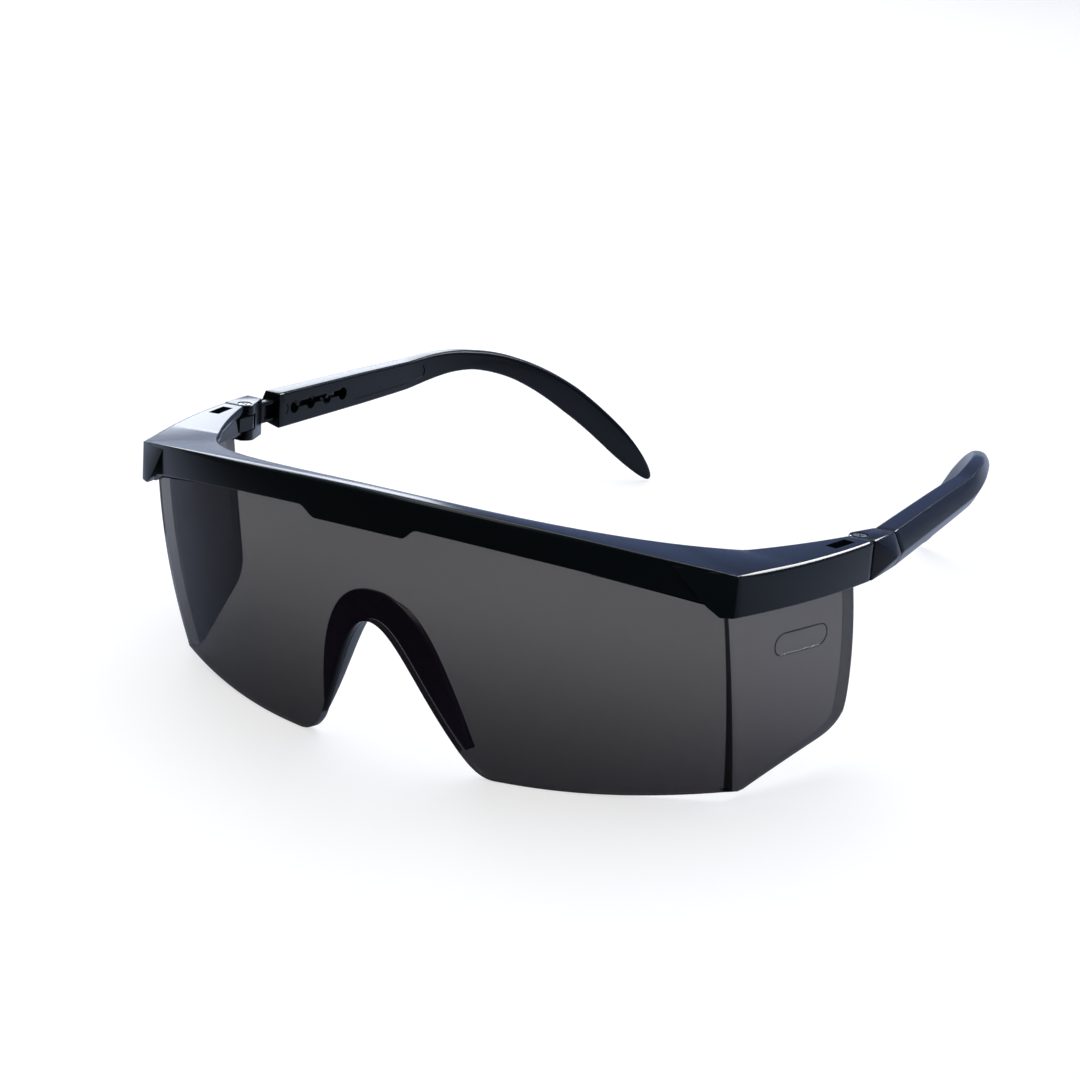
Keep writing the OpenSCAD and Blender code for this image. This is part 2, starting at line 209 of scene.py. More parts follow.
def solid(name, shape, side=1, place=None):
    """A mesh object from points as worn, mirrored to the wearer's right if side is -1."""
    points, faces = shape
    place = place or (lambda p: p)
    placed = [place(p) for p in points]
    mesh = bpy.data.meshes.new(name)
    mesh.from_pydata([stand((side * p[0], p[1], p[2])) for p in placed], [], faces)
    bm = bmesh.new()
    bm.from_mesh(mesh)
    bmesh.ops.remove_doubles(bm, verts=bm.verts, dist=1e-7)
    bmesh.ops.recalc_face_normals(bm, faces=bm.faces)
    bm.to_mesh(mesh)
    bm.free()
    obj = bpy.data.objects.new(name, mesh)
    bpy.context.collection.objects.link(obj)
    return obj


def hull(name, points, side=1):
    """The convex hull of points as worn."""
    obj = solid(name, (points, []), side)
    bm = bmesh.new()
    bm.from_mesh(obj.data)
    done = bmesh.ops.convex_hull(bm, input=bm.verts)
    bmesh.ops.delete(bm, geom=[v for v in done["geom_interior"] if v.is_valid], context="VERTS")
    bmesh.ops.dissolve_limit(bm, angle_limit=math.radians(1), verts=bm.verts, edges=bm.edges)
    bmesh.ops.recalc_face_normals(bm, faces=bm.faces)
    bm.to_mesh(obj.data)
    bm.free()
    return obj


def bake(obj):
    """Applies the object's modifiers to its mesh."""
    graph = bpy.context.evaluated_depsgraph_get()
    mesh = bpy.data.meshes.new_from_object(obj.evaluated_get(graph))
    obj.modifiers.clear()
    old, obj.data = obj.data, mesh
    bpy.data.meshes.remove(old)
    return obj


def bevel(obj, width, segments=3, angle=30.0):
    """Rounds the edges that are sharper than angle."""
    mod = obj.modifiers.new("bevel", "BEVEL")
    mod.width = width * MM
    mod.segments = segments
    mod.limit_method = "ANGLE"
    mod.angle_limit = math.radians(angle)
    mod.use_clamp_overlap = False
    return bake(obj)


def cut(obj, *cutters):
    """Takes the cutters out of obj and deletes them."""
    for cutter in cutters:
        mod = obj.modifiers.new("cut", "BOOLEAN")
        mod.operation = "DIFFERENCE"
        mod.solver = "EXACT"
        mod.object = cutter
        bake(obj)
        bpy.data.objects.remove(cutter)
    return obj


def joined(name, *objs):
    """One object from several closed shells."""
    first = objs[0]
    with bpy.context.temp_override(active_object=first, selected_editable_objects=list(objs)):
        bpy.ops.object.join()
    first.name = name
    return first


def finish_piece(obj, body, nodes, materials, angle=28.0):
    """Smooth shading, materials, and what the piece rides on and stands for."""
    obj.data.materials.clear()
    for material in materials:
        obj.data.materials.append(material)
    obj.data.shade_smooth()
    obj.data.set_sharp_from_angle(angle=math.radians(angle))
    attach(obj, body)
    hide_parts(*nodes)
    return obj


# ---------- materials ----------

def plastic(name, colour, roughness, ior, grain, depth):
    """Moulded plastic: an even colour under a faint moulding grain."""
    material = bpy.data.materials.new(name)
    material.use_nodes = True
    nodes, links = material.node_tree.nodes, material.node_tree.links
    shader = nodes["Principled BSDF"]
    shader.inputs["Base Color"].default_value = (*colour, 1)
    shader.inputs["IOR"].default_value = ior
    where = nodes.new("ShaderNodeTexCoord")
    noise = nodes.new("ShaderNodeTexNoise")
    noise.inputs["Scale"].default_value = grain
    noise.inputs["Detail"].default_value = 3
    links.new(where.outputs["Object"], noise.inputs["Vector"])
    spread = nodes.new("ShaderNodeMapRange")
    spread.inputs["To Min"].default_value = roughness * 0.85
    spread.inputs["To Max"].default_value = roughness * 1.15
    links.new(noise.outputs["Fac"], spread.inputs["Value"])
    links.new(spread.outputs["Result"], shader.inputs["Roughness"])
    bump = nodes.new("ShaderNodeBump")
    bump.inputs["Strength"].default_value = depth
    bump.inputs["Distance"].default_value = 0.0001
    links.new(noise.outputs["Fac"], bump.inputs["Height"])
    links.new(bump.outputs["Normal"], shader.inputs["Normal"])
    return material


# Painted shade on the lens: the range and forward lean over which it is made more opaque low down
# in front
PAINTED_SHADE_LOW, PAINTED_SHADE_HIGH, PAINTED_SHADE_LEAN = -0.031, 0.014, 0.35


def smoke(name, colour, roughness, ior, alpha_low, alpha_high):
    """Tinted clear plastic that lets part of the light through, and less of it low down in front
    as painted shade.
    """
    material = plastic(name, colour, roughness, ior, grain=900, depth=0.02)
    nodes, links = material.node_tree.nodes, material.node_tree.links
    shader = nodes["Principled BSDF"]
    if alpha_low == alpha_high:
        shader.inputs["Alpha"].default_value = alpha_low
        return material
    # Painted shade: alpha rises lower down and further forward on the lens
    split = nodes.new("ShaderNodeSeparateXYZ")
    links.new(nodes["Texture Coordinate"].outputs["Object"], split.inputs["Vector"])
    fade = nodes.new("ShaderNodeMapRange")
    fade.interpolation_type = "SMOOTHSTEP"
    fade.inputs["From Min"].default_value = PAINTED_SHADE_LOW
    fade.inputs["From Max"].default_value = PAINTED_SHADE_HIGH
    fade.inputs["To Min"].default_value = alpha_low
    fade.inputs["To Max"].default_value = alpha_high
    lift = nodes.new("ShaderNodeMath")
    lift.operation = "MULTIPLY_ADD"
    lift.inputs[1].default_value = PAINTED_SHADE_LEAN
    links.new(split.outputs["Y"], lift.inputs[0])
    links.new(split.outputs["Z"], lift.inputs[2])
    links.new(lift.outputs["Value"], fade.inputs["Value"])
    links.new(fade.outputs["Result"], shader.inputs["Alpha"])
    return material


def metal(name, colour, roughness):
    """Brushed metal with a fine grain."""
    material = plastic(name, colour, roughness, ior=2.5, grain=2500, depth=0.15)
    material.node_tree.nodes["Principled BSDF"].inputs["Metallic"].default_value = 1
    return material


FRAME_BLACK = plastic("frame_black", (0.007, 0.0105, 0.0115), 0.16, 1.32, 1500, 0.03)
TEMPLE_BLACK = plastic("temple_black", (0.002, 0.0035, 0.004), 0.20, 1.32, 1500, 0.05)
NOSE_BLACK = plastic("nose_black", (0.0025, 0.003, 0.0035), 0.30, 1.28, 2500, 0.12)
# Smoke lens: more opaque low down in front as painted shade, standing in for the shadowed floor
# seen through it
LENS_SMOKE = smoke("lens_smoke", (0.026, 0.014, 0.030), 0.06, 1.32, 0.865, 0.71)
# Lighter, bluer painted highlight for the lens's cut edges, standing in for the light line along
# the rim
LENS_RIM_PAINTED_HIGHLIGHT = smoke("lens_rim_painted_highlight", (0.055, 0.058, 0.085), 0.15, 1.40, 0.85, 0.85)
# Near-black painted shade for the lens's bent strip at each crease and for the nose cut-out's edge
LENS_PAINTED_SHADE = smoke("lens_painted_shade", (0.001, 0.001, 0.0015), 0.10, 1.15, 0.98, 0.98)
STEEL = metal("screw_steel", (0.45, 0.45, 0.47), 0.28)


# ---------- shared surfaces ----------

def face_y(x):
    """Front of the brow bar, which curves back towards the corners."""
    return BROW_Y + BROW_DEPTH * (x / CORNER_X) ** 2


def wrap(x):
    """How much longer a wall is along Y than across, where the front curves back."""
    return math.sqrt(1 + (2 * BROW_DEPTH * x / CORNER_X ** 2) ** 2)


def brow_low(x):
    """Lower edge of the brow bar."""
    return ARM_TOP + BROW_LIFT - BROW_RISE * (x / CORNER_X) ** 2


def brow_top(x):
    """Upper front edge of the brow bar."""
    return ARM_TOP + (BROW_LIFT + BROW_H) * (1 - (x / CORNER_X) ** 2)


def crown(x):
    """Upper inner edge of the brow bar's flange."""
    return ARM_TOP + (CROWN_LIFT + BROW_H) * max(0, 1 - (x / CROWN_X) ** 2)


def tab(x):
    """How far the centre tab hangs below the brow bar."""
    return TAB_DROP * smooth((TAB_HALF_TOP - x) / (TAB_HALF_TOP - TAB_HALF_LOW))


def lens_y(x, z):
    """Front face of the lens in front of the crease."""
    down = brow_low(x) - z
    bulge = LENS_BULGE * hump(down / (brow_low(x) - BULGE_LOW))
    return face_y(x) + WALL_FRONT + LENS_SLOPE * down - bulge


def bow(z):
    """Outward bow of the crease and the shield between the frame and their lower edge."""
    return CREASE_BOW * hump((ARM_LOW - z) / (ARM_LOW - BULGE_LOW))


def crease_x(z):
    """Place of the crease between the front and the side shield."""
    return CREASE_TOP[0] - CREASE_LEAN * (CREASE_LEVEL - z) + bow(z)


def side_x(y, z):
    """Outer face of a side shield."""
    share = (y - CREASE_TOP[1]) / (SIDE_REAR[1] - CREASE_TOP[1])
    out = CREASE_TOP[0] + share * (SIDE_REAR[0] - CREASE_TOP[0])
    return out - SIDE_LEAN * (CREASE_LEVEL - z) + bow(z)


# ---------- brow frame ----------

def frame_ring(outer_top, outer_low, inner, lens_line, lip, top_r):
    """One rounded cross-section of the frame on the +X side, with the channel for the lens."""
    z_in, z_lip, z_low = crown(inner[0]), outer_top[2] - lip, outer_low[2]
    z_groove = min(z_lip, z_low) + GROOVE_UP
    back = LENS_T + LENS_GAP
    ring = [outer_top, vec(inner[0], inner[1], z_in), vec(inner[0], inner[1], z_in - FLANGE_T),
            lens_line(z_in - FLANGE_T, back + LIP_T), lens_line(z_lip, back + LIP_T),
            lens_line(z_lip, back), lens_line(z_groove, back), lens_line(z_groove, -LENS_GAP),
            lens_line(z_low, -LENS_GAP), outer_low]
    return rounded(ring, [top_r, 0.7, 0.7, 0, 0.3, 0, 0, 0, 0.15, 0.3])


def brow_ring(x):
    """Cross-section of the brow bar at a place across the front."""
    z_low, z_top = brow_low(x) - tab(x), brow_top(x)
    inner = bez(INNER_EDGE, CORNER_T * x / CORNER_X)
    xl = x * CREASE_TOP[0] / CORNER_X
    return frame_ring(vec(x, face_y(x) - FACE_SLOPE * (z_top - brow_low(x)), z_top),
                      vec(x, face_y(x) + FACE_SLOPE * tab(x), z_low), inner,
                      lambda z, depth: vec(xl, lens_y(xl, z) + depth * wrap(xl), z),
                      LIP_H, 0.35 + 1.25 * smooth((60 - x) / 34))


def arm_ring(t):
    """Cross-section of a side arm, with t from 0 at the corner to 1 at the hinge."""
    x = CORNER_X + t * (ARM_X - CORNER_X) + ARM_BOW * hump(t)
    y = CORNER_Y + t * (ARM_END_Y - CORNER_Y)
    yl = CREASE_TOP[1] + t * (ARM_END_Y - CREASE_TOP[1])
    return frame_ring(vec(x, y, ARM_TOP), vec(x, y, ARM_LOW),
                      bez(INNER_EDGE, CORNER_T + t * (1 - CORNER_T)),
                      lambda z, depth: vec(side_x(yl, z) - depth, yl + depth * (1 - t) * 0.85, z),
                      LIP_H + t * (ARM_LIP_H - LIP_H), 0.35 + 0.6 * smooth(t * 6))


def frame_shell():
    """The brow bar and both side arms, with extra sections where the centre tab steps down."""
    stations = sorted([*np.arange(0, 62.5, 1.25), *np.arange(8.9, 13.2, 0.35)])
    half = [brow_ring(x) for x in stations] + [arm_ring(i / 30) for i in range(31)]
    other = [[p * vec(-1, 1, 1) for p in ring] for ring in reversed(half[1:])]
    shell = solid("frame_shell", loft(other + half))
    return bevel(shell, 0.22, 2, 38)


def corner_facet(side):
    """The flat facet that stands proud at a front corner."""
    start_x, start_y = FACET_START
    outline = [(start_x, brow_top(start_x) - 0.9), (CORNER_X, ARM_TOP), (CORNER_X, ARM_LOW),
               (62.6, ARM_LOW), (60.6, 44.1)]
    slope = (CORNER_Y - start_y) / (CORNER_X - start_x)
    rings = [[vec(x, start_y + slope * (x - start_x) + back, z) for x, z in outline]
             for back in (FACET_T, 0)]
    return bevel(solid("facet", loft(rings), side), 0.18, 3)


def hinge_tongue(side):
    """The eye at the end of a side arm that the screw goes through, and its neck."""
    low, high = ARM_LOW + EAR_T + TONGUE_GAP, ARM_TOP - EAR_T - TONGUE_GAP
    eye = bevel(solid("eye", disc(AXIS_X, AXIS_Y, EYE_R, low, high), side), 0.15, 2)
    neck = block((AXIS_X - EYE_R, ARM_END_Y - 2, low), (AXIS_X + EYE_R, AXIS_Y, high))
    return eye, solid("neck", neck, side)


def arm_window(side):
    """The cutter for the pocket in the top of a side arm."""
    (x, y), c, s = WINDOW_AT, math.cos(WINDOW_TURN), math.sin(WINDOW_TURN)

    def place(p):
        return vec(x + p[0] * c - p[1] * s, y + p[0] * s + p[1] * c, p[2])

    low = (-WINDOW_HALF_W, -WINDOW_HALF_L, ARM_TOP - WINDOW_DEPTH)
    high = (WINDOW_HALF_W, WINDOW_HALF_L, ARM_TOP + 2)
    return solid("window", block(low, high), side, place)


def build_frame():
    """The black frame: bar and arms, corner facets and hinge tongues."""
    shell = cut(frame_shell(), arm_window(1), arm_window(-1))
    parts = [shell]
    for side in (1, -1):
        parts += [corner_facet(side), *hinge_tongue(side)]
    piece = joined("brow_bar", *parts)
    finish_piece(piece, "frame", ["brow_frame"], [FRAME_BLACK])


# ---------- lens ----------

def notch_z(x):
    """Height of the nose cut-out's edge above a place across the lens."""
    low, high = 0.0, 1.0
    for _ in range(30):
        mid = (low + high) / 2
        if bez(NOTCH, mid)[0] > x:
            low = mid
        else:
            high = mid
    return bez(NOTCH, low)[1]


def lens_floor(x):
    """Lower edge of the front: the nose cut-out, its rounded foot, and the rise outwards."""
    floor = LENS_LOW + LENS_LOW_RISE * (max(0, x - LENS_MID_X) / LENS_RISE_RUN) ** 2
    foot_x, foot_z = NOTCH[0]
    if x < foot_x:
        return notch_z(x)
    return floor + (foot_z - LENS_LOW) * (1 - clamp((x - foot_x) / FOOT_RUN)) ** FOOT_CURVE


def lens_column(x_share, front_x):
    """Front-part points from top to bottom: (outer, inner) for each row."""
    column = []
    top = brow_top(front_x) - FLANGE_T - LENS_TUCK
    low = lens_floor(front_x)
    for k in range(LENS_ROWS + 1):
        z = top + (low - top) * k / LENS_ROWS
        x = crease_x(z) * x_share
        inner_x = x * (1 - LENS_INSET)
        inner_y = lens_y(inner_x, z) + LENS_T * wrap(inner_x)
        column.append((vec(x, lens_y(x, z), z), vec(inner_x, inner_y, z)))
    return column


def shield_floor(y):
    """Lower edge of a side shield, with the rounded corner at its rear."""
    corner = REAR_LOW_Z - SHIELD_FLOOR_Z - SHIELD_FLOOR_SLOPE * (REAR_LOW - SHIELD_FLOOR_Y)
    over = clamp((y - REAR_LOW + SHIELD_R) / SHIELD_R)
    lift = corner * (1 - (1 - over ** 2.5) ** 0.4)
    return SHIELD_FLOOR_Z + SHIELD_FLOOR_SLOPE * (y - SHIELD_FLOOR_Y) + lift


def shield_rear(z):
    """Rear edge of a side shield."""
    share = clamp((CREASE_LEVEL - z) / (CREASE_LEVEL - REAR_LOW_Z))
    return REAR_TOP + (REAR_LOW - REAR_TOP) * (1 - (1 - share) ** 1.4)


def strip_width(z):
    """Width of the bent strip, painted black as painted shade, along the shield."""
    return STRIP_W + STRIP_SPREAD * clamp((CREASE_LEVEL - z) / (CREASE_LEVEL - BULGE_LOW))


def shield_column(y_low, on_strip=False):
    """Side-shield points from top to bottom, towards y_low, or on the bent strip's rear edge."""
    column = []
    top = ARM_TOP - FLANGE_T - LENS_TUCK
    crease_low = lens_y(crease_x(BULGE_LOW), BULGE_LOW)
    share = clamp((y_low - crease_low) / (REAR_LOW - crease_low))
    low = max(shield_floor(y_low), lens_floor(crease_x(BULGE_LOW)) * (1 - share))
    for k in range(LENS_ROWS + 1):
        z = top + (low - top) * k / LENS_ROWS
        x0 = crease_x(z)
        y0 = lens_y(x0, z)
        edge = y0 + strip_width(z)
        y = edge if on_strip else edge + share * (shield_rear(z) - edge)
        inner_x = x0 * (1 - LENS_INSET)
        inner_y0 = lens_y(inner_x, z) + LENS_T * wrap(inner_x)
        inner_y = inner_y0 + (y - y0) * (shield_rear(z) - inner_y0) / (shield_rear(z) - y0)
        inner = vec(side_x(inner_y, z) - LENS_T * 1.03, inner_y, z)
        column.append((vec(side_x(y, z), y, z), inner))
    return column


def build_lens():
    """The lens as one sheet of columns from right to left, with its rim given a lighter painted
    highlight, and its bends and the nose cut-out's edge painted black as painted shade.
    """
    clear, rim, dark = range(3)
    crease = crease_x(BULGE_LOW)
    xs = [*np.arange(0, 15, 0.5), *np.arange(15, 22, 0.35), *np.arange(22, 26, 0.8),
          *np.linspace(26, crease, 24)]
    half = [lens_column(x / crease, x) for x in xs]
    half.append(shield_column(0, on_strip=True))
    bend = len(half) - 2
    corner_y = REAR_LOW - SHIELD_R
    straight = np.linspace(lens_y(crease, BULGE_LOW) + 1.5, corner_y, 14)
    corner = [corner_y + SHIELD_R * math.sin(math.radians(a)) for a in range(8, 91, 8)]
    half += [shield_column(y) for y in [*straight, *corner, REAR_LOW]]
    flip = vec(-1, 1, 1)
    columns = [[(o * flip, i * flip) for o, i in c] for c in reversed(half[1:])] + half
    middle = len(half) - 1

    rows = LENS_ROWS + 1
    points = [p for c in columns for pair in c for p in pair]
    faces, kinds = [], []

    def face(kind, *corners):
        faces.append(tuple((column * rows + row) * 2 + layer for column, row, layer in corners))
        kinds.append(kind)

    for c in range(len(columns) - 1):
        distance = c - middle if c >= middle else middle - 1 - c
        on_bend = distance == bend
        for r in range(rows - 1):
            for layer in (0, 1):
                # The outer layer of the bent strip is painted black as painted shade
                face(dark if on_bend and layer == 0 else clear,
                     (c, r, layer), (c + 1, r, layer), (c + 1, r + 1, layer), (c, r + 1, layer))
        # Edge faces: painted black as painted shade on the bends and along the nose cut-out,
        # elsewhere the rim's lighter painted highlight
        in_notch = columns[c][-1][0][2] > NOTCH_PAINTED_SHADE_Z and distance < bend
        for r in (0, rows - 1):
            face(dark if on_bend or in_notch else rim,
                 (c, r, 0), (c + 1, r, 0), (c + 1, r, 1), (c, r, 1))
    for c in (0, len(columns) - 1):
        for r in range(rows - 1):
            face(rim, (c, r, 0), (c, r + 1, 0), (c, r + 1, 1), (c, r, 1))
    sheet = solid("sheet", (points, faces))
    for material in (LENS_SMOKE, LENS_RIM_PAINTED_HIGHLIGHT, LENS_PAINTED_SHADE):
        sheet.data.materials.append(material)
    for polygon, kind in zip(sheet.data.polygons, kinds):
        polygon.material_index = kind
    bevel(sheet, 0.22, 2, 60)
    piece = joined("smoke_lens", sheet, emblem(1), emblem(-1))
    piece.data.shade_smooth()
    piece.data.set_sharp_from_angle(angle=math.radians(35))
    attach(piece, "frame")
    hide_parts("lens")


def emblem(side):
    """The raised outline of a blank oval on a side shield."""
    half_turn = np.linspace(-math.pi / 2, math.pi / 2, 17)
    path = [(EMBLEM_Y + way * EMBLEM_HALF + way * EMBLEM_R * math.cos(a),
             EMBLEM_Z + way * EMBLEM_R * math.sin(a)) for way in (1, -1) for a in half_turn]
    points, faces, n = [], [], 8
    for i, (y, z) in enumerate(path):
        y_next, z_next = path[(i + 1) % len(path)]
        y_last, z_last = path[i - 1]
        across = unit(vec(z_next - z_last, y_last - y_next))
        for c, s in turns(n):
            dy, dz = across * EMBLEM_T * c * 1.6
            points.append(vec(side_x(y + dy, z + dz) + EMBLEM_T * s * 0.8, y + dy, z + dz))
    for i in range(len(path)):
        j = (i + 1) % len(path)
        for k in range(n):
            faces.append((i * n + k, j * n + k, j * n + (k + 1) % n, i * n + (k + 1) % n))
    ring = solid("emblem", (points, faces), side)
    ring.data.materials.append(LENS_SMOKE)
    return ring


# ---------- nose bridge ----------

def nose_ring(t):
    """Cross-section of the nose flange, with t from -1 to 1 along the cut-out and 0 at its top."""
    u = abs(t)
    a, b = bez(NOTCH, 1 - u), bez(SADDLE, 1 - u)
    across, width = unit(b - a), np.linalg.norm(b - a) + 0.6 - 0.45 * u ** 4
    depth, flare = SADDLE_DEPTH * (1 - 0.8 * u ** 3), SADDLE_FLARE * (1 - 0.6 * u ** 4)
    sign = -1 if t < 0 else 1

    def at(p, back):
        return vec(sign * p[0], lens_y(abs(p[0]), p[1]) + LENS_T * wrap(p[0]) + 0.05 + back, p[1])

    tip, foot = a + across * width, a + across * min(2.2, width * 0.8)
    ring = [at(a, 0), at(tip, 0), at(tip, min(1, 0.45 * depth)), at(foot, min(1.5, 0.6 * depth)),
            at(a + across * (flare + SADDLE_WALL), depth), at(a + across * flare, depth)]
    return rounded(ring, [0.3, 0.25, 0.35, 0.7, 0.5, 0.5], 4)


def build_nose():
    """The satin flange that follows the nose cut-out behind the lens."""
    piece = solid("nose_saddle", loft([nose_ring(i / 40) for i in range(-40, 41)]))
    finish_piece(piece, "frame", ["nose_bridge"], [NOSE_BLACK], 50)


# ---------- hinge blocks, blades and screws ----------

def hinge_block(side):
    """The block between the frame's tongue and the sleeve, with room for the tongue and screw."""
    slab, _ = block((ARM_X - 0.3, ARM_END_Y + 0.25, ARM_LOW), (ARM_X, ARM_END_Y + 0.55, ARM_TOP))
    barrel, _ = disc(AXIS_X, AXIS_Y, EYE_R, ARM_LOW, ARM_TOP)
    mouth = [temple((x, 0, z)) for x, z in SLEEVE_SECTION]
    body = hull("block", [*slab, *barrel, *mouth, temple((1.8, -2.55, -4.15))], side)
    bevel(body, 0.28, 3, 20)
    low, high, room = ARM_LOW + EAR_T, ARM_TOP - EAR_T, EYE_R + POCKET_GAP
    mouth = block((AXIS_X - 8, ARM_END_Y - 5, low), (AXIS_X + room, AXIS_Y, high))
    sink = disc(AXIS_X, AXIS_Y, HEAD_R + 0.1, ARM_TOP - HEAD_H - 0.2, ARM_TOP + 4)
    return cut(body, solid("pocket", disc(AXIS_X, AXIS_Y, room, low, high), side),
               solid("mouth", mouth, side), solid("sink", sink, side))


def adjusting_blade(side):
    """The blade that slides in the sleeve, grooved behind the slot, and its click nub."""
    (x0, x1), (z0, z1), gap = CAVITY_X, CAVITY_Z, BLADE_GAP
    blade = block((x0 + gap, -1, z0 + gap), (x1 - gap, BLADE_L, z1 - gap))
    blade = bevel(solid("blade", blade, side, temple), 0.2, 2)
    groove = block((-5, 2, SLOT_Z - 1.6), (x0 + gap + 1, LAST_LOBE - 1.2, SLOT_Z + 1.6))
    cut(blade, solid("groove", groove, side, temple))
    nub = cross_rod(LAST_LOBE, SLOT_Z + NECK_RISE, NUB_R, -3.9, -2.4)
    return blade, bevel(solid("nub", nub, side, temple), 0.2, 2)


def screw_head(side):
    """The screw's round head, with a cross cut into its top."""
    top = ARM_TOP - HEAD_SINK
    head = solid("screw", disc(AXIS_X, AXIS_Y, HEAD_R, ARM_TOP - HEAD_H - HEAD_SINK, top), side)
    bevel(head, 0.22, 3)
    for angle in (20, 110):
        c, s = math.cos(math.radians(angle)), math.sin(math.radians(angle))

        def place(p):
            return vec(AXIS_X + c * p[0] - s * p[1], AXIS_Y + s * p[0] + c * p[1], p[2])

        slot = block((-0.95, -0.2, ARM_TOP - 0.65), (0.95, 0.2, ARM_TOP + 1))
        cut(head, solid("slot", slot, side, place))
    return head


def build_hinge(side, word):
    """A hinge block with its blade and nub in one piece, and the metal screw through it."""
    body = hinge_block(side)
    piece = joined(word + "_hinge_knuckle", body, *adjusting_blade(side))
    finish_piece(piece, word + "_hinge", [word + "_hinge_block"], [TEMPLE_BLACK])

    screw = screw_head(side)
    shank = disc(AXIS_X, AXIS_Y, SCREW_R, ARM_LOW + 0.5, ARM_TOP - 1.2, 32)
    shank = solid("shank", shank, side)
    screw = joined(word + "_screw", screw, shank)
    finish_piece(screw, word + "_hinge", [word + "_hinge_screw"], [STEEL])


# ---------- ear pieces ----------

def ear_centre(t):
    """Centre line of an ear piece: t runs from 0 to 1 along the sleeve, then round the hook."""
    x, z = EAR_MIDDLE
    if t <= 1:
        return vec(x, t * EAR_START, z)
    return vec(x, EAR_START, z) + bez(EAR_HOOK, t - 1)


def ear_run(t):
    """Distance along the ear piece at t."""
    return t * EAR_START if t <= 1 else EAR_START + HOOK_RUN * (t - 1)


def ear_frame(t):
    """Centre, sideways and upward directions, height and width factors of the ear piece at t."""
    s = ear_run(t)
    k = math.sqrt(1 - clamp((s - TIP_START) / TIP_RUN, 0, 0.995) ** 2)
    along = unit(ear_centre(t + 0.01) - ear_centre(max(0, t - 0.01)))
    side = unit(np.cross(along, vec(0, 0, 1)))
    tall, wide = lookup(s, EAR_HEIGHTS) / EAR_H * k, lookup(s, EAR_WIDTHS) * k
    return ear_centre(t), side, np.cross(side, along), tall, wide


def ear_ring(t):
    """Cross-section of an ear piece, with softer edges towards the hook."""
    centre, side, up, tall, wide = ear_frame(t)
    ring = [centre + side * x * wide + up * z * tall for x, z in EAR_SECTION]
    soft = 0.22 + 1.9 * smooth((t - 1.12) / 0.5)
    return rounded(ring, [0.5 + 0.3 * soft, soft, soft, soft, 0.6 + 0.3 * soft], 4)


def panel_ring(t, first, last):
    """One cross-section of the cutter for the shallow panel on the inner face."""
    centre, across, up, tall, wide = ear_frame(t)
    ends = min(ear_run(t) - ear_run(first), ear_run(last) - ear_run(t)) / 2
    half = 0.1 + (EAR_H / 2 * tall - 1.7) * math.sqrt(1 - (1 - clamp(ends)) ** 2)
    outside, bottom = EAR_INNER * wide - 1, EAR_INNER * wide + PANEL_SINK
    return [centre + across * x + up * z for x, z in
            ((outside, -half), (bottom, -half), (bottom, half), (outside, half))]


def build_ear(side, word, clicks):
    """The sleeve with its cavity, scalloped slot and blank panel, running into the ear hook."""

    def place(p):
        return temple(p, clicks)

    def carve(name, shape):
        cut(body, solid(name, shape, side, place))

    tip = [1 + (TIP_START + TIP_RUN * math.sin(math.radians(a)) - EAR_START) / HOOK_RUN
           for a in range(0, 85, 7)]
    stations = [*np.linspace(SEAM / EAR_START, 1, 24), *np.linspace(1.02, tip[0] - 0.02, 44), *tip]
    body = solid("ear", loft([ear_ring(t) for t in stations]), side, place)
    bevel(body, 0.3, 3, 50)
    (x0, x1), (z0, z1) = CAVITY_X, CAVITY_Z
    neck_low, neck_top = SLOT_Z + NECK_RISE - NECK_H / 2, SLOT_Z + NECK_RISE + NECK_H / 2
    carve("cavity", block((x0, -1, z0), (x1, BLADE_L + 1, z1)))
    carve("slot", block((-6, FIRST_LOBE, neck_low), (-2, LAST_LOBE, neck_top)))
    for i in range(LOBES):
        carve("lobe", cross_rod(FIRST_LOBE + i * CLICK, SLOT_Z, LOBE_R, -6, -2))
    first, last = (LAST_LOBE + 3) / EAR_START, PANEL_END
    spots = [first, first + 0.01, first + 0.03, *np.linspace(first + 0.06, last - 0.03, 12),
             last - 0.015, last - 0.005, last]
    carve("panel", loft([panel_ring(t, first, last) for t in spots]))
    carve("mark", cross_rod(2.3, SLOT_Z, 1.0, -6, -3.92, tall=1.2))
    body.name = word + "_temple"
    finish_piece(body, word + "_ear", [word + "_ear_piece"], [TEMPLE_BLACK])


# ---------- stage, light and camera ----------

